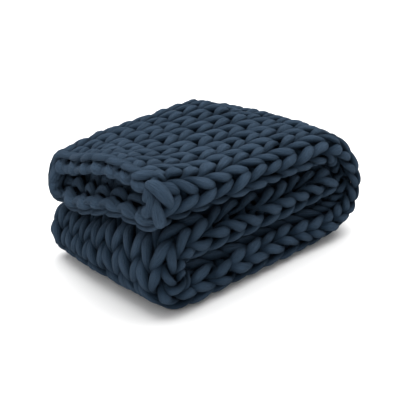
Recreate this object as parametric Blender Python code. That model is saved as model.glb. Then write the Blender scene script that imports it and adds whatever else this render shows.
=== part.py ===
"""A chunky-knit weighted blanket, folded for the shelf, in metres with +Z up.

The cloth is one knitted sheet. It is folded in half lengthwise, knit face out, with the crease on
the -Y side and the two selvedges together on the +Y side. The doubled strip is then folded in
thirds: an open end at the upper left (-X), the top strip, a wide wrap round the right end (+X), the
bottom strip, a tight fold at the lower left, and the middle strip tucked into the wrap.
"""

import math

import bmesh
import bpy

# Driving dimensions
PILE_LENGTH = 0.676  # folded blanket along X
PILE_WIDTH = 0.42  # folded blanket along Y
BOTTOM_HIGH = 0.092  # doubled strip that lies on the floor
MIDDLE_HIGH = 0.104  # doubled strip between the other two
TUCK_HIGH = 0.092  # its end, tucked into the wrap
TOP_HIGH = 0.077  # doubled strip on top, pressed by its own weight
WRAP_THICK = 0.084  # doubled strip where it goes round the right end
FOLD_THICK = 0.094  # doubled strip where it goes round the lower left
LAYER = 0.042  # thickness of one knitted layer, before it is pressed
LAYER_GAP = 0.004  # between the two layers of the doubled strip
TURN_GAP = 0.003  # between one doubled strip and the next
LEG_SHARE = 0.35  # depth of the yarn legs' centres, as a share of the layer
COLUMNS = 15  # knitted columns across the sheet, the middle one on the crease
ROWS = 40  # knitted rows along the sheet
SELVEDGE_TURN = math.radians(80)  # how far each selvedge curls round the +Y side
CHAIN = 0.013  # how far the bind-off chain stands off the open end
OPEN_LIFT = 0.044  # how far the upper layer gapes at the open end
OPEN_REACH = 0.12  # how far along the strip the gape closes
OPEN_BACK = 0.024  # how far the far corner draws back there, the lower layer half as far
NEAR_BACK = 0.006  # how far the upper layer's near corner draws back
LEFT_BACK = 0.012  # how far the whole left end draws back on the far side
DOME_Y = 0.035  # rise of the pile's middle over its sides, as a share of the height
DOME_X = 0.05  # and over its ends
DIP = 0.24  # depth of the gaps between stitches, as a share of the layer
GROOVE = 0.16  # depth of the grooves beside each leg, as a share of the layer
SLANT = 0.70  # how far a leg leans along the row, in rows
CENTRE_Y = 0.006  # brings the pile's box over the origin
SLIP_WHOLE = 2  # columns beside the crease that slip the whole way with it
SLIP_FADES = 6  # columns after those over which the slip dies away
FAR_FROM = -0.063  # Y from which the far side's rise sets in
TWIST = 0.12  # Y over which the settled left end turns from its near side to its far side
RIGHT_FROM = 0.2  # X from which the settled right end sets in
RIGHT_EASE = 0.12  # and the stretch over which it does
BLUE = (0.045, 0.075, 0.115, 1.0)

# Worked out from them
HALF = LAYER + LAYER_GAP / 2  # the doubled strip's centre plane to its outer face, before pressing
LEG_R = HALF - LEG_SHARE * LAYER  # offset at which the stitches keep their size
BOTTOM_Z = BOTTOM_HIGH / 2
MIDDLE_Z = BOTTOM_HIGH + TURN_GAP + MIDDLE_HIGH / 2
TOP_Z = MIDDLE_Z + MIDDLE_HIGH / 2 + TURN_GAP + TOP_HIGH / 2
WRAP_R = (TOP_Z - BOTTOM_Z) / 2
FOLD_R = (MIDDLE_Z - BOTTOM_Z) / 2
WRAP_X = PILE_LENGTH / 2 - WRAP_R - WRAP_THICK / 2
FOLD_X = FOLD_R + FOLD_THICK / 2 - PILE_LENGTH / 2
OPEN_X = CHAIN - PILE_LENGTH / 2
TUCK_R = MIDDLE_HIGH / 2 + TURN_GAP  # roundness of the tucked end
TUCK = 0.8 * TUCK_R  # how far it runs into the wrap
CREASE_Y = PILE_WIDTH / 2 - HALF

# The strip from its open end: run of stitches, radius of its centre plane (0 where straight)
TURNS = (
    ("top", WRAP_X - OPEN_X, 0.0),
    ("wrap", math.pi * (WRAP_R + LEG_R), WRAP_R),
    ("bottom", WRAP_X - FOLD_X, 0.0),
    ("fold", math.pi * (FOLD_R + LEG_R), FOLD_R),
    ("middle", WRAP_X + TUCK - FOLD_X, 0.0),
)
RUN = sum(run for _, run, _ in TURNS)
ROW = RUN / ROWS
SPAN = 2 * (LEG_R * (math.pi / 2 + SELVEDGE_TURN) + 2 * CREASE_Y)
COLUMN = SPAN / COLUMNS

# Along the strip: row of stitches, thickness of the doubled strip there, shift of its crease in Y,
# and how many columns the cloth has slipped over the crease towards the outer layer
ALONG = (
    (0, TOP_HIGH, 0.0, 0.15),
    (6, TOP_HIGH, 0.003, 0.5),
    (9, TOP_HIGH, 0.004, 0.5),
    (11, WRAP_THICK, 0.002, 0.25),
    (14, WRAP_THICK, -0.006, 0.0),
    (17, WRAP_THICK, -0.012, -0.15),
    (20, BOTTOM_HIGH, -0.008, -0.35),
    (26, BOTTOM_HIGH, -0.004, -0.2),
    (28, FOLD_THICK, 0.0, 0.4),
    (31, FOLD_THICK, 0.004, 0.75),
    (33, MIDDLE_HIGH, 0.006, 0.85),
    (36, MIDDLE_HIGH, 0.006, 0.85),
    (39, TUCK_HIGH, 0.006, 0.85),
)

# Rise of the far side over the near one: place along the pile's length, rise at the top
FAR_RISE = ((-0.34, -0.014), (-0.15, 0.012), (-0.04, 0.013), (0.12, 0.022), (0.21, -0.004), (0.32, 0.0))

# How the ends have settled, by height: the rise of the left end on its near side and on its far side,
# the rise of the right end, and how far the left end stands out
SETTLED = (
    (0.00, 0.000, 0.000, 0.000, 0.008),
    (0.10, 0.004, -0.019, -0.014, 0.000),
    (0.20, 0.008, -0.038, -0.014, 0.000),
    (0.27, 0.008, -0.014, -0.003, 0.000),
    (0.33, 0.006, 0.000, 0.000, 0.000),
)

# The bind-off chain's lines: depth into the sheet, how far each stands off, as a share of the chain
CHAIN_LINES = ((0.22, 1.0), (0.5, 0.45), (0.78, 1.0))
CHAIN_DIPS = 0.55  # depth of the dips between its links, as a share of it

# Where the inner face has its lines, in columns: closer together round the crease
PURL_COLUMNS = (0, 1, 3, 5, 6, 7, 8, 9, 10, 12, 14, 15)

# Columns with raised stitches, from the outer layer's selvedge; the others lie between the layers
RAISED = (*range(10), 14)


def smooth(value):
    value = min(max(value, 0.0), 1.0)
    return value * value * (3 - 2 * value)


def strip_at(run):
    """(x, z, heading) of the strip's centre plane this far along its stitches."""
    x, z, heading, left = OPEN_X, TOP_Z, 0.0, run
    for name, length, radius in TURNS:
        part = left if name == "middle" else min(left, length)
        if radius:
            x += radius * math.sin(heading)
            z -= radius * math.cos(heading)
            heading -= part / (radius + LEG_R)
            x -= radius * math.sin(heading)
            z += radius * math.cos(heading)
        else:
            x += part * math.cos(heading)
            z += part * math.sin(heading)
        left -= part
        if left <= 0:
            break
    return x, z, heading


def section_at(across, depth):
    """(y, offset, facing) in the doubled strip's section, across the sheet from the crease and into it.

    facing is 1 on the outer layer, 0 on the inner one, and turns between them round the crease.
    """
    radius = HALF - depth * LAYER
    side = -1 if across > 0 else 1
    way = abs(across)
    near = LEG_R * math.pi / 2
    if way < near:
        turn = way / LEG_R
        y = -CREASE_Y - radius * math.cos(turn)
        offset = radius * math.sin(turn)
    elif way < near + 2 * CREASE_Y:
        turn = math.pi / 2
        y = way - near - CREASE_Y
        offset = radius
    else:
        turn = math.pi / 2 + (way - near - 2 * CREASE_Y) / LEG_R
        y = CREASE_Y - radius * math.cos(turn)
        offset = radius * math.sin(turn)
    return y, side * offset, (1 + side * math.sin(turn)) / 2


def eased(table, at):
    """The rest of a table's row at this value of its first column, eased from row to row."""
    at = min(max(at, table[0][0]), table[-1][0])
    for first, last in zip(table, table[1:]):
        if at <= last[0]:
            share = smooth((at - first[0]) / (last[0] - first[0]))
            return [low + (high - low) * share for low, high in zip(first[1:], last[1:])]


def place(run, across, depth):
    """A point of the knitted sheet in its folded shape."""
    x, z, heading = strip_at(run)
    thick, shift, slip = eased(ALONG, run / ROW)
    from_crease = abs(across) / COLUMN
    slip *= COLUMN * (1 - smooth((from_crease - SLIP_WHOLE) / SLIP_FADES))
    y, offset, facing = section_at(across - slip, depth)
    far = smooth(y / CREASE_Y)
    at_open = math.exp(-((max(run, 0.0) / OPEN_REACH) ** 2))
    offset *= thick / (2 * HALF)
    offset += OPEN_LIFT * facing * at_open * (1 - far / 2)
    into = x - WRAP_X
    if run > RUN / 2 and into > 0:
        offset *= math.sqrt(1 - (into / TUCK_R) ** 2)
    x -= offset * math.sin(heading)
    z += offset * math.cos(heading)
    x += OPEN_BACK * (1 + facing) / 2 * at_open * far
    x += NEAR_BACK * facing * at_open**4 * (1 - far)
    x += LEFT_BACK * smooth(-x / (PILE_LENGTH / 2)) * far
    z *= 1 - DOME_Y * (y / (PILE_WIDTH / 2)) ** 2 - DOME_X * (x / (PILE_LENGTH / 2)) ** 2
    z *= 1 + eased(FAR_RISE, x)[0] * smooth((y - FAR_FROM) / (PILE_WIDTH / 2)) / TOP_Z
    left = smooth(-x / (PILE_LENGTH / 2))
    right = smooth((x - RIGHT_FROM) / RIGHT_EASE)
    at_far = smooth(y / (2 * TWIST) + 0.5)
    near_rise, far_rise, right_rise, out = eased(SETTLED, z)
    z += left * (near_rise + (far_rise - near_rise) * at_far) + right * right_rise
    return x - left * out, y + shift + CENTRE_Y, z


def leaning(across, run):
    """How far along the strip a row of stitches leans here: its V tips point away from the open end."""
    phase = abs((across / COLUMN + 0.5) % 1.0 - 0.5) * 2
    at_ends = smooth(run / ROW) * smooth((RUN - run) / ROW)
    return SLANT * ROW * (0.5 - phase) * at_ends


def on_floor(run, across):
    """1 where the outer layer lies flat on the floor, 0 away from it."""
    start = TURNS[0][1] + TURNS[1][1]
    end = start + TURNS[2][1]
    along = smooth((run - start) / ROW + 0.5) * smooth((end - run) / ROW + 0.5)
    inside = smooth((-across - LEG_R * math.pi / 2) / COLUMN + 1)
    inside *= smooth((SPAN / 2 + across - LEG_R * SELVEDGE_TURN) / COLUMN + 1)
    return along * inside


def new_sheet(bm, acrosses, runs):
    """A grid of faces, and its vertices by line along the strip and by line across it."""
    made = bmesh.ops.create_grid(bm, x_segments=len(acrosses) - 1, y_segments=len(runs) - 1, size=1.0)
    verts = sorted(made["verts"], key=lambda v: (round(v.co.y, 6), v.co.x))
    wide = len(acrosses)
    return [verts[i * wide : (i + 1) * wide] for i in range(len(runs))]


def knit_face(bm, acrosses, runs):
    """The outer face, its stitches raised as rows of slanted legs."""
    rows = new_sheet(bm, acrosses, runs)
    for line, run in zip(rows, runs):
        dip_line = round(run / ROW * 2) % 2 == 0
        for vert, across in zip(line, acrosses):
            column = across / COLUMN + COLUMNS / 2
            raised = int(min(max(column, 0), COLUMNS - 1)) in RAISED
            leg = round(column * 4) % 2 == 1
            depth = (DIP if dip_line else 0.0) + (0.0 if leg else GROOVE)
            depth *= raised * (1 - on_floor(run, across))
            vert.co = place(run + leaning(across, run) * raised, across, depth)
    return rows


def purl_face(bm, acrosses, runs):
    rows = new_sheet(bm, acrosses, runs)
    for line, run in zip(rows, runs):
        for vert, across in zip(line, acrosses):
            vert.co = place(run, across, 1.0)
    return rows


def bind_off(bm, line, acrosses):
    """The chain along the open end: a ridge on each side of a groove, in links a column long."""
    lines = [line]
    for depth, stands in CHAIN_LINES:
        edges = [bm.edges.get(pair) for pair in zip(line, line[1:])]
        made = bmesh.ops.extrude_edge_only(bm, edges=edges)["geom"]
        fresh = [v for v in made if isinstance(v, bmesh.types.BMVert)]
        joined = {e.other_vert(v): v for v in fresh for e in v.link_edges if e.other_vert(v) in line}
        line = [joined[v] for v in line]
        for vert, across in zip(line, acrosses):
            link = abs(math.sin(math.pi * (across / COLUMN + depth)))
            vert.co = place(-CHAIN * stands * (1 - CHAIN_DIPS * (1 - link)), across, depth)
        lines.append(line)
    return lines


def close_between(bm, fine, coarse, steps):
    """Faces between a fine line and a coarse one, each coarse step facing this many fine ones."""
    start = 0
    for first, second, count in zip(coarse, coarse[1:], steps):
        middle = start + count // 2
        for j in range(start, start + count):
            bm.faces.new((first if j < middle else second, fine[j + 1], fine[j]))
        bm.faces.new((first, second, fine[middle]))
        start += count


def yarn_blue():
    material = bpy.data.materials.new("navy_knit")
    material.use_nodes = True
    shader = material.node_tree.nodes["Principled BSDF"]
    shader.inputs["Base Color"].default_value = BLUE
    shader.inputs["Roughness"].default_value = 0.85
    shader.inputs["Metallic"].default_value = 0.0
    return material


def fine_lines():
    """Lines across the sheet: four to a raised column, and one to each of the others."""
    found = []
    for column in range(COLUMNS):
        steps = 4 if column in RAISED else 1
        found += [(column + i / steps - COLUMNS / 2) * COLUMN for i in range(steps)]
    return [*found, SPAN / 2]


def blanket():
    bm = bmesh.new()
    fine = fine_lines()
    coarse = [(column - COLUMNS / 2) * COLUMN for column in PURL_COLUMNS]
    steps = [sum(low < x - COLUMN / 8 < high for x in fine) for low, high in zip(coarse, coarse[1:])]
    runs = [ROW * i / 2 for i in range(2 * ROWS + 1)]
    knit = knit_face(bm, fine, runs)
    purl = purl_face(bm, coarse, runs)
    chain = bind_off(bm, knit[0], fine)
    close_between(bm, chain[-1], purl[0], steps)
    close_between(bm, knit[-1], purl[-1], steps)
    for at in (0, -1):
        lines = [[row[at] for row in side] for side in (knit, purl)]
        edges = [bm.edges.get(pair) for line in lines for pair in zip(line, line[1:])]
        bmesh.ops.bridge_loops(bm, edges=edges)
        bm.faces.new([line[at] for line in (*chain, purl[0])])
    bmesh.ops.triangulate(bm, faces=bm.faces[:])
    bmesh.ops.recalc_face_normals(bm, faces=bm.faces[:])
    mesh = bpy.data.meshes.new("blanket")
    bm.to_mesh(mesh)
    bm.free()
    mesh.shade_smooth()
    mesh.materials.append(yarn_blue())
    return bpy.data.objects.new("blanket", mesh)


def main():
    for old in list(bpy.data.objects):
        bpy.data.objects.remove(old)
    parts = bpy.data.collections.new("weighted_blanket")
    bpy.context.scene.collection.children.link(parts)
    parts.objects.link(blanket())


main()
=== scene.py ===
"""The looks of a folded chunky-knit weighted blanket.

Every row of the knitting is made as one yarn in the flat sheet, stitch by stitch, and is then carried
into the pile by the sheet's own fold. Lengths are in metres, +Z up, in the solid's frame.
"""

import math

import bmesh
import bpy
import numpy as np
from bpy.props import FloatProperty, FloatVectorProperty, IntProperty, PointerProperty
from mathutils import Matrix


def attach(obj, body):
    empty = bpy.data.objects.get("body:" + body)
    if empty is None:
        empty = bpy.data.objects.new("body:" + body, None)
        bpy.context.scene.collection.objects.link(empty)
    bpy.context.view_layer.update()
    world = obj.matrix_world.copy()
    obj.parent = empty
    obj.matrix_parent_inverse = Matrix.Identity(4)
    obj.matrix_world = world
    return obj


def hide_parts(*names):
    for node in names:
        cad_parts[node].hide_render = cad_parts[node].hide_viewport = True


bl_info = {
    "name": "Folded knitted blanket",
    "version": (1, 0, 0),
    "blender": (4, 5, 0),
    "location": "3D View > Sidebar > Blanket",
    "description": "Knits, folds and finishes a chunky weighted blanket",
    "category": "Add Mesh",
}

BODY = "root"
NODE = "blanket"

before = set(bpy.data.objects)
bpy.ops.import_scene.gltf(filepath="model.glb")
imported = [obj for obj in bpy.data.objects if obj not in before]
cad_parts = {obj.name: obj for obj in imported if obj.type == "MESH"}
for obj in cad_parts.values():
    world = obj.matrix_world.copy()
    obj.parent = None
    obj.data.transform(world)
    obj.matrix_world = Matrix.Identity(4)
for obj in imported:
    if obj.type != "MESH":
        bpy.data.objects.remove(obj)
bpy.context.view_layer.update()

# One knit stitch, from the middle of its left sinker loop to the top of its head; the other half mirrors it.
# side: columns from the stitch's middle; grow: rows from its foot; deep: 0 at the knit face, 1 at the back;
# thick: share of the yarn's thickness.
STITCH = (
    (-0.50, -0.04, 1.00, 1.00),
    (-0.30, -0.10, 0.97, 0.98),
    (-0.12, -0.02, 0.68, 0.78),
    (-0.11, 0.16, 0.22, 0.92),
    (-0.17, 0.46, 0.00, 1.17),
    (-0.27, 0.80, 0.00, 1.08),
    (-0.38, 1.14, 0.14, 0.78),
    (-0.43, 1.42, 0.50, 0.56),
    (-0.30, 1.53, 0.92, 0.72),
    (0.00, 1.49, 1.00, 1.00),
)

# One link of the bind-off chain in the same columns, but growing along the open edge: side is across the
# edge, and deep runs into the cloth. Its leg by the knit face lies along the edge, and the other is puffed.
LINK = (
    (-0.12, -0.06, 0.75, 0.68),
    (-0.26, 0.18, 0.36, 0.76),
    (-0.35, 0.56, 0.16, 0.86),
    (-0.38, 0.96, 0.20, 0.82),
    (-0.36, 1.30, 0.55, 0.68),
    (-0.18, 1.46, 0.98, 0.80),
    (0.10, 1.40, 1.02, 0.85),
    (0.32, 1.18, 0.90, 0.75),
    (0.38, 0.96, 0.50, 0.95),
    (0.28, 0.70, -0.05, 1.42),
    (0.16, 0.44, 0.02, 1.28),
    (0.04, 0.20, 0.50, 0.80),
    (-0.02, 0.00, 0.95, 0.68),
)

# The same for a link that goes round the near corner, where both legs are thick and spread
CORNER_LINK = (
    (0.14, -0.06, 1.10, 0.70),
    (0.08, 0.04, 0.30, 0.82),
    (-0.04, 0.28, 0.00, 1.10),
    (-0.17, 0.60, 0.35, 1.25),
    (-0.26, 0.90, 0.85, 1.10),
    (-0.26, 1.12, 1.30, 0.85),
    (-0.08, 1.28, 1.60, 0.78),
    (0.12, 1.34, 1.40, 0.78),
    (0.30, 1.24, 0.85, 0.82),
    (0.42, 1.00, 0.20, 1.00),
    (0.44, 0.68, -0.25, 1.28),
    (0.36, 0.38, -0.25, 1.25),
    (0.24, 0.12, 0.15, 0.92),
    (0.18, -0.02, 0.95, 0.70),
)

# The links that do so: first and last, counted from the middle one
AT_CORNER = (-2, 0)

# Where one row's yarn passes to the next at a selvedge: side past the row's end, grow and deep as above
SELVEDGE = ((0.12, -0.20, 0.55), (0.12, -0.84, 0.55))

# Where a yarn's woven-in start runs: the same way, and into the next row's end
TAIL = (*SELVEDGE, (0.04, -1.06, 0.90))

# How far a row's ends reach past its last columns to close the selvedge, in columns, how much further at the
# gaping open end, and the rows over which that fades
SELVEDGE_REACH = 0.12
OPEN_REACH = 0.24
OPEN_FADES = 1.5

# From how far inside the selvedge the yarn turns full, and over what width, in columns
FULL_FROM = 0.7
FULL_EASE = 0.4

# How much more than a stitch's place the thickness of its legs strays, and how many times less its points do
LEGS_STRAY = 1.5
POINTS_STEADY = 3

# Where the lower layer's back stands up inside the mouth: its middle and half width in rows, the column past
# the crease that it starts from, and the columns before the selvedge over which it ends
PUFF_ROW = 1.1
PUFF_ROWS = 1.0
PUFF_FROM = 0.5
PUFF_ENDS = 1.5

# How much thinner stretched yarn is at the knit face, as a power of the stretch, the columns by the crease
# where the sheet stretches, the most that it does, and the part of a column over which that is measured
THINNING = 0.6
STRETCH_COLUMNS = 3
MOST_STRETCH = 2.0
STRETCH_STEP = 1 / 8

# How far the middle strip's rounded end runs into the wrap, and the most of its roundness that is followed,
# as shares of its radius
TUCK = 0.8
TUCK_MOST = 0.97

# The noises of the finish: scale, detail and roughness
NOISES = {
    "creases": (105.0, 4.0, 0.75),
    "lumps": (34.0, 2.0, 0.5),
    "fuzz": (900.0, 4.0, 0.7),
    "tone": (13.0, 2.0, 0.5),
}
CREASE_LONG = 0.16  # scale of the creases along the yarn, as a share of that across it
RIB_SWAY = 5.0  # how far the creases push the ribs aside, in radians

# The depths of the bumps in metres, and the parts of the mottle in the colour: the tone part is random, while
# the crease, fuzz and jersey parts follow the same bumps and paint shade into their hollows
JERSEY_DEEP = 0.0006
CREASE_DEEP = 0.014
LUMP_DEEP = 0.004
FUZZ_DEEP = 0.0012
TONE_PART = 0.25
CREASE_SHADE_PART = 0.5
FUZZ_SHADE_PART = 0.25
JERSEY_SHADE_PART = 0.04

# The parts of the jersey's ribs that are even and that its rows break up
RIBS_EVEN = 0.7
RIBS_BROKEN = 0.3

# Where the mottle runs from least to most, and its least; and the same range of nearness to a face, over
# which the painted shade in the yarn's hidden middle, the grooves between legs, fades out
MOTTLE_FROM = 0.3
MOTTLE_TO = 0.6
MOTTLE_LEAST = 0.42
PAINTED_SHADE_FROM = 0.48
PAINTED_SHADE_TO = 1.02

SPECULAR = 0.04
SHEEN_ROUGH = 0.45
SHEEN_TINT = (0.55, 0.68, 0.85, 1.0)

# The lamps: name, which is also that of its strength in the stage's values, width in degrees, and place
LAMPS = (
    ("key", 75, (0.25, 0.18, 1.0)),
    ("fill", 70, (-1.0, -0.4, 0.9)),
)

SENSOR_WIDTH = 36.0  # of the camera, in millimetres

# The rows that each piece holds, from the open end
PIECES = (
    ("knit_top", 0, 8),
    ("knit_wrap", 8, 16),
    ("knit_bottom", 16, 25),
    ("knit_fold", 25, 33),
    ("knit_middle", 33, 40),
)


def metres(name, description, default):
    return FloatProperty(name=name, description=description, default=default, unit="LENGTH")


def share(name, description, default):
    return FloatProperty(name=name, description=description, default=default, subtype="FACTOR")


def colour(name, description, default):
    return FloatVectorProperty(name=name, description=description, default=default, subtype="COLOR",
                               min=0.0, max=1.0)


class BlanketFold(bpy.types.PropertyGroup):
    """The pile that the blanket is folded into."""

    length: metres("Length", "Folded blanket along X", 0.676)
    width: metres("Width", "Folded blanket along Y", 0.42)
    bottom_high: metres("Bottom strip", "Height of the doubled strip on the floor", 0.092)
    middle_high: metres("Middle strip", "Height of the doubled strip between the others", 0.104)
    tuck_high: metres("Tucked end", "Height of the middle strip's end in the wrap", 0.092)
    top_high: metres("Top strip", "Height of the doubled strip on top", 0.077)
    wrap_thick: metres("Wrap", "Thickness of the doubled strip round the right end", 0.084)
    fold_thick: metres("Fold", "Thickness of the doubled strip round the lower left", 0.094)
    layer: metres("Layer", "Thickness of one knitted layer before it is pressed", 0.042)
    layer_gap: metres("Layer gap", "Gap between the two layers of the doubled strip", 0.004)
    turn_gap: metres("Strip gap", "Gap between one doubled strip and the next", 0.003)
    selvedge_turn: FloatProperty(name="Selvedge turn", description="How far each selvedge curls round",
                                 default=math.radians(80), subtype="ANGLE")
    open_lift: metres("Open lift", "How far the upper layer gapes at the open end", 0.044)
    open_reach: metres("Open reach", "How far along the strip the gape closes", 0.12)
    open_back: metres("Open back", "How far the upper layer's far corner draws back, the lower's half", 0.024)
    near_back: metres("Near back", "How far the upper layer's near corner draws back", 0.006)
    left_back: metres("Left back", "How far the left end draws back on the far side", 0.012)
    dome_y: share("Side dome", "Rise of the middle over the sides, as a share of the height", 0.035)
    dome_x: share("End dome", "Rise of the middle over the ends, as a share of the height", 0.05)
    centre_y: metres("Centre", "Brings the pile's box over the origin", 0.006)
    slip_whole: FloatProperty(name="Slip", description="Columns by the crease that slip the whole way",
                              default=2.0)
    slip_fades: FloatProperty(name="Slip fades", description="Columns over which the slip dies away",
                              default=6.0)
    far_from: metres("Far from", "Y from which the far side's rise sets in", -0.063)
    twist: metres("Twist", "Y over which the left end turns from its near side to its far one", 0.12)
    right_from: metres("Right from", "X from which the settled right end sets in", 0.2)
    right_ease: metres("Right ease", "Stretch over which it does", 0.12)


class BlanketKnit(bpy.types.PropertyGroup):
    """The stitches and their yarn."""

    columns: IntProperty(name="Columns", description="Stitches across the sheet", default=15, min=1)
    rows: IntProperty(name="Rows", description="Rows of stitches along the sheet", default=40, min=1)
    leg_share: share("Leg depth", "Depth at which stitches keep their size, as a share of the layer", 0.35)
    yarn: metres("Yarn", "Thickness of the yarn", 0.0216)
    flat: share("Flatness", "How far the yarn is flattened in the layer", 0.90)
    front: share("Front", "Depth of the yarn's middle at the knit face, as a share of the layer", 0.265)
    back: share("Back", "Depth of the yarn's middle at the back, as a share of the layer", 0.76)
    steps: IntProperty(name="Steps", description="Points between two of a stitch's own", default=3, min=1)
    rounds: IntProperty(name="Roundness", description="Blender's bevel resolution of the yarn", default=4)
    uneven: share("Unevenness", "How far stitches stray, as a share of a row", 0.045)
    stray: share("Stray", "How far whole columns and rows wander, as a share of a stitch", 0.09)
    seed: IntProperty(name="Seed", description="Picks the unevenness", default=7)
    chain: metres("Chain", "How far the bind-off chain stands off the open end", 0.013)
    chain_wide: share("Chain width", "Spread of the chain's legs, as a share of the layer", 1.0)
    chain_deep: metres("Chain depth", "How far the chain's links dip", 0.018)
    puff: share("Puff", "How far the lower layer's back stands up inside the mouth, in layers", 0.6)
    full_edge: share("Full edge", "Least thickness of the yarn by the selvedges, as a share of its own", 1.38)
    links: IntProperty(name="Links", description="Links of the chain", default=16, min=2)
    crowd: share("Crowding", "How far the chain's links crowd towards the near corner", 0.25)
    last_row: share("Last row", "Length of the row that the chain closes, as a share of the others", 0.74)
    floor: metres("Floor", "Lowest point of the yarn", 0.0004)


class BlanketFinish(bpy.types.PropertyGroup):
    """The yarn's finish, with the darker tone that also paints shade into its grooves."""

    light: colour("Light tone", "Colour of the yarn's paler parts", (0.0376, 0.0618, 0.0960))
    # The darker tone below serves both the yarn's random mottle and the painted shade in its grooves and in
    # the hollows of its creases, ribs and fuzz
    dark_tone_and_shade: colour("Dark tone", "Colour of the yarn's deeper parts", (0.0105, 0.0215, 0.0370))
    rough: share("Roughness", "How matte the yarn is", 0.88)
    fuzz: share("Fuzz", "Strength of the soft sheen of loose fibres", 0.02)
    ribs: IntProperty(name="Ribs", description="Fine ribs round the tube of jersey", default=34)
    rib_row: metres("Rib row", "Length of one jersey stitch along a rib", 0.0032)


class BlanketStage(bpy.types.PropertyGroup):
    """The floor, the lights and the camera."""

    azimuth: FloatProperty(name="Azimuth", description="Turn of the camera about +Z", subtype="ANGLE",
                           default=math.radians(-43.95))
    elevation: FloatProperty(name="Elevation", description="Camera's height over the horizon",
                             default=math.radians(23.91), subtype="ANGLE")
    distance: metres("Distance", "From the camera to the point that it looks at", 1.782)
    aim_across: metres("Aim across", "Point looked at, to the camera's right of the origin", -0.0256)
    aim_high: metres("Aim height", "Height of the point looked at", 0.110)
    lens: FloatProperty(name="Lens", description="Focal length in millimetres", default=67.95)
    floor: colour("Floor", "Colour of the floor", (0.8, 0.8, 0.8))
    floor_reach: metres("Floor reach", "From the origin to each side of the floor", 60.0)
    sky: FloatProperty(name="Sky", description="Strength of the light from all round", default=0.52)
    key: FloatProperty(name="Key light", description="Strength of the broad light overhead", default=4.8)
    fill: FloatProperty(name="Fill light", description="Strength of the broad light from the left",
                        default=1.0)


def smooth(value):
    value = np.clip(value, 0.0, 1.0)
    return value * value * (3 - 2 * value)


def eased(table, at):
    """The table's other columns at these values of its first one, eased from row to row."""
    places = np.array([row[0] for row in table], float)
    values = np.array([row[1:] for row in table], float)
    at = np.clip(at, places[0], places[-1])
    low = np.clip(np.searchsorted(places, at, side="right") - 1, 0, len(places) - 2)
    way = smooth((at - places[low]) / (places[low + 1] - places[low]))
    return (values[low] + (values[low + 1] - values[low]) * way[:, None]).T


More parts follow.
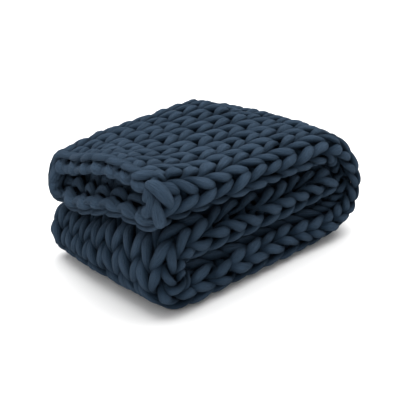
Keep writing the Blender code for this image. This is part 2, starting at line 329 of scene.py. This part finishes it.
class Fold:
    """Where a point of the flat sheet lies in the pile."""

    def __init__(self, fold, knit):
        self.size, self.knit = fold, knit
        half = fold.layer + fold.layer_gap / 2
        self.half = half
        self.leg_radius = half - knit.leg_share * fold.layer
        self.bottom_z = fold.bottom_high / 2
        self.middle_z = fold.bottom_high + fold.turn_gap + fold.middle_high / 2
        self.top_z = self.middle_z + fold.middle_high / 2 + fold.turn_gap + fold.top_high / 2
        wrap_radius = (self.top_z - self.bottom_z) / 2
        fold_radius = (self.middle_z - self.bottom_z) / 2
        self.wrap_x = fold.length / 2 - wrap_radius - fold.wrap_thick / 2
        fold_x = fold_radius + fold.fold_thick / 2 - fold.length / 2
        self.open_x = knit.chain - fold.length / 2
        self.tuck_radius = fold.middle_high / 2 + fold.turn_gap
        tuck = TUCK * self.tuck_radius
        self.crease_y = fold.width / 2 - half
        self.turns = (
            (self.wrap_x - self.open_x, 0.0),
            (math.pi * (wrap_radius + self.leg_radius), wrap_radius),
            (self.wrap_x - fold_x, 0.0),
            (math.pi * (fold_radius + self.leg_radius), fold_radius),
            (self.wrap_x + tuck - fold_x, 0.0),
        )
        self.run = sum(length for length, _ in self.turns)
        self.row = self.run / knit.rows
        self.span = 2 * (self.leg_radius * (math.pi / 2 + fold.selvedge_turn) + 2 * self.crease_y)
        self.column = self.span / knit.columns
        # Along the strip: row, thickness of the doubled strip, shift of its crease in Y, and how many
        # columns the cloth has slipped over the crease towards the outer layer
        self.along = (
            (0, fold.top_high, 0.0, 0.15),
            (6, fold.top_high, 0.003, 0.5),
            (9, fold.top_high, 0.004, 0.5),
            (11, fold.wrap_thick, 0.002, 0.25),
            (14, fold.wrap_thick, -0.006, 0.0),
            (17, fold.wrap_thick, -0.012, -0.15),
            (20, fold.bottom_high, -0.008, -0.35),
            (26, fold.bottom_high, -0.004, -0.2),
            (28, fold.fold_thick, 0.0, 0.4),
            (31, fold.fold_thick, 0.004, 0.75),
            (33, fold.middle_high, 0.006, 0.85),
            (36, fold.middle_high, 0.006, 0.85),
            (39, fold.tuck_high, 0.006, 0.85),
        )
        # Rise of the far side over the near one: place along the pile's length, rise at the top
        self.far_rise = ((-0.34, -0.014), (-0.15, 0.012), (-0.04, 0.013), (0.12, 0.022), (0.21, -0.004),
                         (0.32, 0.000))

        # How the ends have settled, by height: the rise of the left end on its near side and on its far
        # side, the rise of the right end, and how far the left end stands out
        self.settled = (
            (0.00, 0.000, 0.000, 0.000, 0.008),
            (0.10, 0.004, -0.019, -0.014, 0.000),
            (0.20, 0.008, -0.038, -0.014, 0.000),
            (0.27, 0.008, -0.014, -0.003, 0.000),
            (0.33, 0.006, 0.000, 0.000, 0.000),
        )

    def strip(self, run):
        """(x, z, heading) of the strip's centre plane at each of these runs of stitches."""
        x = np.full_like(run, self.open_x)
        z = np.full_like(run, self.top_z)
        heading = np.zeros_like(run)
        left = run.copy()
        for number, (length, radius) in enumerate(self.turns):
            part = left if number == len(self.turns) - 1 else np.minimum(left, length)
            if number:
                part = np.maximum(part, 0.0)
            if radius:
                x += radius * np.sin(heading)
                z -= radius * np.cos(heading)
                heading = heading - part / (radius + self.leg_radius)
                x -= radius * np.sin(heading)
                z += radius * np.cos(heading)
            else:
                x += part * np.cos(heading)
                z += part * np.sin(heading)
            left = left - part
        return x, z, heading

    def section(self, across, depth):
        """(y, offset, facing) in the doubled strip's section; facing is 1 on the outer layer."""
        radius = self.half - depth * self.size.layer
        side = np.where(across > 0, -1.0, 1.0)
        way = np.abs(across)
        near = self.leg_radius * math.pi / 2
        flat_end = near + 2 * self.crease_y
        turn = np.minimum(way, near) / self.leg_radius + np.maximum(way - flat_end, 0.0) / self.leg_radius
        flat = np.clip(way - near, 0.0, 2 * self.crease_y)
        y = flat - self.crease_y - radius * np.cos(turn)
        offset = radius * np.sin(turn)
        return y, side * offset, (1 + side * np.sin(turn)) / 2

    def place(self, run, across, depth):
        size = self.size
        x, z, heading = self.strip(run)
        thick, shift, slip = eased(self.along, run / self.row)
        from_crease = np.abs(across) / self.column
        slip = slip * self.column * (1 - smooth((from_crease - size.slip_whole) / size.slip_fades))
        y, offset, facing = self.section(across - slip, depth)
        far = smooth(y / self.crease_y)
        at_open = np.exp(-((np.maximum(run, 0.0) / size.open_reach) ** 2))
        offset = offset * thick / (2 * self.half)
        offset += size.open_lift * facing * at_open * (1 - far / 2)
        into = np.clip(x - self.wrap_x, 0.0, TUCK_MOST * self.tuck_radius)
        into = np.where(run > self.run / 2, into, 0.0)
        offset = offset * np.sqrt(1 - (into / self.tuck_radius) ** 2)
        x = x - offset * np.sin(heading)
        z = z + offset * np.cos(heading)
        x += size.open_back * (1 + facing) / 2 * at_open * far
        x += size.near_back * facing * at_open ** 4 * (1 - far)
        x += size.left_back * smooth(-x / (size.length / 2)) * far
        z *= 1 - size.dome_y * (y / (size.width / 2)) ** 2 - size.dome_x * (x / (size.length / 2)) ** 2
        rise = eased(self.far_rise, x)[0] * smooth((y - size.far_from) / (size.width / 2))
        z *= 1 + rise / self.top_z
        left = smooth(-x / (size.length / 2))
        right = smooth((x - size.right_from) / size.right_ease)
        at_far = smooth(y / (2 * size.twist) + 0.5)
        near_rise, far_rise, right_rise, out = eased(self.settled, z)
        z += left * (near_rise + (far_rise - near_rise) * at_far) + right * right_rise
        x -= left * out
        z = np.maximum(z, self.knit.floor)
        return np.column_stack((x, y + shift + size.centre_y, z))

    def stretch(self, run, across):
        """How far the sheet's face is stretched across its columns here, by the crease."""
        step = self.column * STRETCH_STEP
        face = np.zeros_like(run)
        ends = self.place(run, across + step, face) - self.place(run, across - step, face)
        by_crease = smooth(STRETCH_COLUMNS - np.abs(across) / self.column)
        stretch = np.clip(np.linalg.norm(ends, axis=1) / (2 * step), 1.0, MOST_STRETCH)
        return 1 + by_crease * (stretch - 1)


def curve_through(points, steps):
    """A smooth curve through these points, with this many steps from one to the next."""
    before = np.vstack((2 * points[:1] - points[1:2], points[:-1]))[:-1]
    after = np.vstack((points[1:], 2 * points[-1:] - points[-2:-1]))[1:]
    here, there = points[:-1], points[1:]
    found = []
    for step in range(steps):
        t = step / steps
        found.append(
            0.5 * (2 * here + (there - before) * t + (2 * before - 5 * here + 4 * there - after) * t * t
                   + (3 * here - before - 3 * there + after) * t ** 3)
        )
    along = np.stack(found, axis=1).reshape(-1, points.shape[1])
    return np.vstack((along, points[-1:]))


def whole(half):
    half = np.array(half)
    mirrored = half[-2::-1] * (-1, 1, 1, 1)
    return np.vstack((half, mirrored))


def selvedge_reach(number):
    return SELVEDGE_REACH + OPEN_REACH * math.exp(-number / OPEN_FADES)


def row_points(fold, number, chance):
    """The yarn of one row in the flat sheet: run, across, height over the sheet's face, thickness."""
    knit = fold.knit
    found = []
    for column in range(knit.columns):
        stitch = whole(STITCH)[1 if column else 0:]
        stitch[:, :2] += chance.normal(0.0, knit.uneven, (1, 2))
        stitch[:, :2] += chance.normal(0.0, knit.uneven / POINTS_STEADY, (len(stitch), 2))
        legs = 1 + chance.normal(0.0, LEGS_STRAY * knit.uneven, 2)
        stitch[:, 3] *= np.where(stitch[:, 0] < 0, *legs)
        if number == 0:
            stitch[:, 1] *= knit.last_row
        stitch[:, 0] += column + 0.5 - knit.columns / 2
        found.append(stitch)
    found[0][0, 0] -= selvedge_reach(number)
    found[-1][-1, 0] += selvedge_reach(number)
    row = np.vstack(found)
    by_selvedge = smooth((np.abs(row[:, 0]) - knit.columns / 2 + FULL_FROM) / FULL_EASE)
    row[:, 3] = np.maximum(row[:, 3], knit.full_edge * by_selvedge)
    return row


def wander(at, other, seed):
    """A slow wave over the sheet, from -1 to 1; its numbers are radians per column or row."""
    return np.sin(1.1 * at + 1.6 * np.sin(0.55 * other + seed)) * np.cos(0.35 * at - 0.8 * other + 2 * seed)


def flat_points(fold, points, number):
    """Stitch points as places in the flat sheet, deepened so that flattening gives the real depth."""
    knit = fold.knit
    side, grow = points[:, 0].copy(), points[:, 1].copy()
    at_end = np.clip((number + 1 - grow) / 2, 0, 1) * np.clip((knit.rows - number - 1 + grow) / 2, 0, 1)
    points[:, 0] += knit.stray * wander(side, number - grow, knit.seed)
    points[:, 1] += knit.stray * at_end * wander(number - grow, side, knit.seed + 1)
    depth = knit.front + points[:, 2] * (knit.back - knit.front)
    run = (number + 1 - points[:, 1]) * fold.row
    inside = np.exp(-((run / fold.row - PUFF_ROW) / PUFF_ROWS) ** 2)
    inside *= smooth(points[:, 0] - PUFF_FROM) * smooth((knit.columns / 2 - points[:, 0]) / PUFF_ENDS)
    depth += knit.puff * inside * points[:, 2] ** 2
    across = points[:, 0] * fold.column
    thick = points[:, 3] / fold.stretch(run, across) ** (THINNING * (1 - points[:, 2]))
    return np.column_stack((run, across, depth * fold.size.layer / knit.flat, thick))


def selvedge_points(fold, number, way, path):
    """The yarn from this row to the next at the right selvedge, or at the left one where way is -1."""
    edge = fold.knit.columns / 2 + selvedge_reach(number)
    turn = np.array([(way * (edge + side), grow, deep, fold.knit.full_edge) for side, grow, deep in path])
    return flat_points(fold, turn, number)


def knitted_yarn(fold, first, last):
    """One yarn that goes to and fro along these rows, with its start woven into the left selvedge."""
    chance = np.random.default_rng(fold.knit.seed + first)
    found = [selvedge_points(fold, first, -1, TAIL)[::-1]]
    for number in range(first, last):
        way = 1 if (number - first) % 2 == 0 else -1
        found.append(flat_points(fold, row_points(fold, number, chance), number)[::way])
        if number < last - 1:
            found.append(selvedge_points(fold, number, way, SELVEDGE))
    return curve_through(np.vstack(found), fold.knit.steps)


def chain_yarns(fold):
    """The links of the bind-off chain, each a loop round the edge's own section."""
    knit, layer = fold.knit, fold.size.layer
    chance = np.random.default_rng(knit.seed)
    half_span = fold.span / 2 + SELVEDGE_REACH * fold.column
    for number in range(knit.links):
        at_corner = AT_CORNER[0] <= number - knit.links / 2 <= AT_CORNER[1]
        link = np.array(CORNER_LINK if at_corner else LINK)
        link[:, :2] += chance.normal(0.0, knit.uneven, (1, 2))
        link[:, 3] *= 1 + chance.normal(0.0, knit.uneven)
        way = 2 * (number + link[:, 1]) / knit.links - 1
        across = (1 - knit.crowd + knit.crowd * way ** 2) * way * half_span
        depth = 0.5 + link[:, 0] * knit.chain_wide
        run = knit.yarn / 2 - knit.chain + link[:, 2] * knit.chain_deep
        points = np.column_stack((run, across, depth * layer / knit.flat, link[:, 3]))
        yield curve_through(points, knit.steps)


def yarn_object(name, yarns, fold):
    """A mesh of these yarns: Blender sweeps each round its curve, and the fold carries it into the pile."""
    knit = fold.knit
    curve = bpy.data.curves.new(name, "CURVE")
    curve.dimensions = "3D"
    curve.bevel_depth = knit.yarn / 2
    curve.bevel_resolution = knit.rounds
    around = 2 * knit.rounds + 4
    lengths = []
    for points in yarns:
        spline = curve.splines.new("POLY")
        spline.points.add(len(points) - 1)
        places = np.column_stack((points[:, :3], np.ones(len(points))))
        spline.points.foreach_set("co", places.astype(np.float32).ravel())
        spline.points.foreach_set("radius", points[:, 3].astype(np.float32))
        steps = np.linalg.norm(np.diff(points[:, :3], axis=0), axis=1)
        lengths.append(np.concatenate(([0.0], np.cumsum(steps))))
    swept = bpy.data.objects.new(name, curve)
    bpy.context.scene.collection.objects.link(swept)
    graph = bpy.context.evaluated_depsgraph_get()
    mesh = bpy.data.meshes.new_from_object(swept.evaluated_get(graph))
    bpy.data.objects.remove(swept)
    bpy.data.curves.remove(curve)
    mesh.name = name

    # The yarn's own space: across its round section, and along it
    along = np.repeat(np.concatenate(lengths), around)
    turn = np.tile(np.arange(around) * (2 * math.pi / around), len(along) // around)
    own = np.column_stack((np.cos(turn), np.sin(turn), along / (knit.yarn / 2))) * (knit.yarn / 2)
    attribute = mesh.attributes.new("yarn_space", "FLOAT_VECTOR", "POINT")
    attribute.data.foreach_set("vector", own.astype(np.float32).ravel())

    flat = np.empty(len(mesh.vertices) * 3, np.float32)
    mesh.vertices.foreach_get("co", flat)
    flat = flat.reshape(-1, 3).astype(float)

    # How near each point is to one of the sheet's two faces or to its open end, away from its hidden middle;
    # the finish darkens the colour where this is low, as painted shade in the grooves between the legs
    crest = np.abs(2 * flat[:, 2] * knit.flat / fold.size.layer - 1)
    crest = np.maximum(crest, smooth(1 - flat[:, 0] / knit.yarn))
    attribute = mesh.attributes.new("crest", "FLOAT", "POINT")
    attribute.data.foreach_set("value", crest.astype(np.float32))

    folded = fold.place(flat[:, 0], flat[:, 1], flat[:, 2] * knit.flat / fold.size.layer)
    mesh.vertices.foreach_set("co", folded.astype(np.float32).ravel())

    bm = bmesh.new()
    bm.from_mesh(mesh)
    bmesh.ops.holes_fill(bm, edges=[edge for edge in bm.edges if edge.is_boundary], sides=0)
    bm.to_mesh(mesh)
    bm.free()
    mesh.shade_smooth()
    mesh.update()
    piece = bpy.data.objects.new(name, mesh)
    bpy.context.scene.collection.objects.link(piece)
    return piece


def finish_piece(piece):
    piece.data.materials.clear()
    piece.data.materials.append(tube_yarn_material())
    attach(piece, BODY)
    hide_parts(NODE)


class Value:
    """A number in a shader, which adds a Math node for each sum."""

    def __init__(self, graph, socket):
        self.graph, self.socket = graph, socket

    def sum(self, operation, first, second):
        return Value(self.graph, self.graph.node("ShaderNodeMath", {"operation": operation},
                                                 {0: first, 1: second}).outputs[0])

    def __add__(self, other):
        return self.sum("ADD", self, other)

    def __radd__(self, other):
        return self.sum("ADD", other, self)

    def __mul__(self, other):
        return self.sum("MULTIPLY", self, other)

    def __rmul__(self, other):
        return self.sum("MULTIPLY", other, self)


class Shader:
    """A material and its nodes."""

    def __init__(self, name):
        self.material = bpy.data.materials.new(name)
        self.material.use_nodes = True
        self.tree = self.material.node_tree
        self.tree.nodes.clear()

    def node(self, kind, settings=None, inputs=None):
        """A node of this kind: its settings are set first, then its sockets take values or links."""
        made = self.tree.nodes.new(kind)
        for name, value in (settings or {}).items():
            setattr(made, name, value)
        for name, value in (inputs or {}).items():
            if isinstance(value, Value):
                value = value.socket
            if isinstance(value, bpy.types.NodeSocket):
                self.tree.links.new(value, made.inputs[name])
            else:
                made.inputs[name].default_value = value
        return made

    def number(self, kind, settings, inputs, output=0):
        return Value(self, self.node(kind, settings, inputs).outputs[output])

    def noise(self, name, place):
        scale, detail, rough = NOISES[name]
        return self.number("ShaderNodeTexNoise", {},
                           {"Vector": place, "Scale": scale, "Detail": detail, "Roughness": rough})


def tube_yarn_material():
    """Matte jersey sewn into a stuffed tube: fine ribs along it, soft creases and loose fuzz, and painted
    shade in its grooves and hollows.
    """
    name = "tube_yarn"
    if name in bpy.data.materials:
        return bpy.data.materials[name]
    look = bpy.context.scene.blanket_finish
    shader = Shader(name)
    own = shader.node("ShaderNodeAttribute", {"attribute_name": "yarn_space"}).outputs["Vector"]
    place = shader.node("ShaderNodeTexCoord").outputs["Object"]
    parts = shader.node("ShaderNodeSeparateXYZ", inputs={"Vector": own})
    x, y, along = (Value(shader, parts.outputs[axis]) for axis in "XYZ")
    turn = x.sum("ARCTAN2", y, x)

    stretched = shader.node("ShaderNodeVectorMath", {"operation": "MULTIPLY"},
                            {0: own, 1: (1.0, 1.0, CREASE_LONG)}).outputs[0]
    creases = shader.noise("creases", stretched)
    lumps = shader.noise("lumps", place)
    fuzz = shader.noise("fuzz", place)
    tone = shader.noise("tone", place)

    rows = x.sum("SINE", along * (2 * math.pi / look.rib_row), 0.0)
    ribs = x.sum("SINE", turn * look.ribs + creases * RIB_SWAY, 0.0)
    jersey = ribs * (RIBS_EVEN + RIBS_BROKEN * rows)

    crest = shader.number("ShaderNodeAttribute", {"attribute_name": "crest"}, {}, "Fac")
    # Painted shade: the crease, fuzz and jersey parts darken the colour where the same noises dip the bump;
    # only the tone part is random
    shade = TONE_PART * tone + CREASE_SHADE_PART * creases + FUZZ_SHADE_PART * fuzz + JERSEY_SHADE_PART * jersey
    mottle_and_hollow_shade = shader.number("ShaderNodeMapRange", {}, {
        "Value": shade, "From Min": MOTTLE_FROM, "From Max": MOTTLE_TO, "To Min": MOTTLE_LEAST,
    })
    # Painted shade in the grooves between legs: the colour darkens towards the darker tone where the yarn
    # lies in the sheet's hidden middle
    painted_groove_shade = shader.number("ShaderNodeMapRange", {"interpolation_type": "SMOOTHSTEP"},
                              {"Value": crest, "From Min": PAINTED_SHADE_FROM, "From Max": PAINTED_SHADE_TO})
    paint = shader.node("ShaderNodeMix", {"data_type": "RGBA"},
                        {"Factor": mottle_and_hollow_shade * painted_groove_shade, 6: (*look.dark_tone_and_shade, 1.0), 7: (*look.light, 1.0)})

    height = JERSEY_DEEP * jersey + CREASE_DEEP * creases + LUMP_DEEP * lumps + FUZZ_DEEP * fuzz
    bump = shader.node("ShaderNodeBump", {}, {"Strength": 1.0, "Distance": 1.0, "Height": height})
    skin = shader.node("ShaderNodeBsdfPrincipled", {}, {
        "Base Color": paint.outputs[2], "Roughness": look.rough, "Specular IOR Level": SPECULAR,
        "Sheen Weight": look.fuzz, "Sheen Roughness": SHEEN_ROUGH, "Sheen Tint": SHEEN_TINT,
        "Normal": bump.outputs["Normal"],
    })
    shader.node("ShaderNodeOutputMaterial", {}, {"Surface": skin.outputs["BSDF"]})
    return shader.material


class BLANKET_OT_knit(bpy.types.Operator):
    """Knit the blanket's rows and fold them into the pile"""

    bl_idname = "blanket.knit"
    bl_label = "Knit the rows"

    def execute(self, context):
        fold = Fold(context.scene.blanket_fold, context.scene.blanket_knit)
        for name, first, last in PIECES:
            finish_piece(yarn_object(name, [knitted_yarn(fold, first, last)], fold))
        return {"FINISHED"}


class BLANKET_OT_bind_off(bpy.types.Operator):
    """Bind off the open end with its chain"""

    bl_idname = "blanket.bind_off"
    bl_label = "Bind off the open end"

    def execute(self, context):
        fold = Fold(context.scene.blanket_fold, context.scene.blanket_knit)
        finish_piece(yarn_object("bind_off_chain", list(chain_yarns(fold)), fold))
        return {"FINISHED"}


class BLANKET_OT_stage(bpy.types.Operator):
    """Set the pale floor, the soft studio light and the camera"""

    bl_idname = "blanket.stage"
    bl_label = "Set the stage"

    def execute(self, context):
        scene, stage = context.scene, context.scene.blanket_stage
        scene.view_settings.view_transform = "Standard"
        self.floor(scene, stage)
        self.sky(scene, stage)
        for name, wide, place in LAMPS:
            self.lamp(scene, name, getattr(stage, name), wide, place)
        self.camera(scene, stage)
        return {"FINISHED"}

    def floor(self, scene, stage):
        bm = bmesh.new()
        bmesh.ops.create_grid(bm, x_segments=1, y_segments=1, size=stage.floor_reach)
        mesh = bpy.data.meshes.new("floor")
        bm.to_mesh(mesh)
        bm.free()
        shader = Shader("pale_floor")
        skin = shader.node("ShaderNodeBsdfPrincipled", {}, {
            "Base Color": (*stage.floor, 1.0), "Roughness": 0.9, "Specular IOR Level": 0.1,
        })
        shader.node("ShaderNodeOutputMaterial", {}, {"Surface": skin.outputs["BSDF"]})
        mesh.materials.append(shader.material)
        floor = bpy.data.objects.new("floor", mesh)
        scene.collection.objects.link(floor)

    def sky(self, scene, stage):
        world = bpy.data.worlds.new("studio")
        world.use_nodes = True
        world.node_tree.nodes["Background"].inputs["Color"].default_value = (1.0, 1.0, 1.0, 1.0)
        world.node_tree.nodes["Background"].inputs["Strength"].default_value = stage.sky
        scene.world = world

    def lamp(self, scene, name, strength, wide, place):
        """A soft light this many degrees wide, from this side."""
        lamp = bpy.data.lights.new(name, "SUN")
        lamp.energy = strength
        lamp.angle = math.radians(wide)
        shown = bpy.data.objects.new(name, lamp)
        shown.location = place
        shown.rotation_euler = (-shown.location).to_track_quat("-Z", "Y").to_euler()
        scene.collection.objects.link(shown)

    def camera(self, scene, stage):
        lens = bpy.data.cameras.new("photo_view")
        lens.lens = stage.lens
        lens.sensor_width = SENSOR_WIDTH
        camera = bpy.data.objects.new("photo_view", lens)
        turn, rise = stage.azimuth, stage.elevation
        aim = np.array((math.cos(turn) * stage.aim_across, math.sin(turn) * stage.aim_across, stage.aim_high))
        back = np.array((math.sin(turn) * math.cos(rise), -math.cos(turn) * math.cos(rise), math.sin(rise)))
        camera.location = aim + back * stage.distance
        camera.rotation_euler = (math.pi / 2 - rise, 0.0, turn)
        scene.collection.objects.link(camera)
        scene.camera = camera


class BLANKET_PT_panel(bpy.types.Panel):
    """Lists the steps that make the blanket"""

    bl_idname = "BLANKET_PT_panel"
    bl_label = "Folded blanket"
    bl_space_type = "VIEW_3D"
    bl_region_type = "UI"
    bl_category = "Blanket"

    def draw(self, context):
        for step in STEPS:
            self.layout.operator(step.bl_idname)
        for group in GROUPS:
            values = getattr(context.scene, group)
            for name in values.__annotations__:
                self.layout.prop(values, name)


STEPS = (BLANKET_OT_knit, BLANKET_OT_bind_off, BLANKET_OT_stage)
GROUPS = {
    "blanket_fold": BlanketFold,
    "blanket_knit": BlanketKnit,
    "blanket_finish": BlanketFinish,
    "blanket_stage": BlanketStage,
}
CLASSES = (*GROUPS.values(), *STEPS, BLANKET_PT_panel)


def register():
    for made in CLASSES:
        bpy.utils.register_class(made)
    for name, group in GROUPS.items():
        setattr(bpy.types.Scene, name, PointerProperty(type=group))


def unregister():
    for name in GROUPS:
        delattr(bpy.types.Scene, name)
    for made in reversed(CLASSES):
        bpy.utils.unregister_class(made)


def main():
    register()
    bpy.ops.blanket.knit()
    bpy.ops.blanket.bind_off()
    bpy.ops.blanket.stage()


if __name__ == "__main__":
    main()
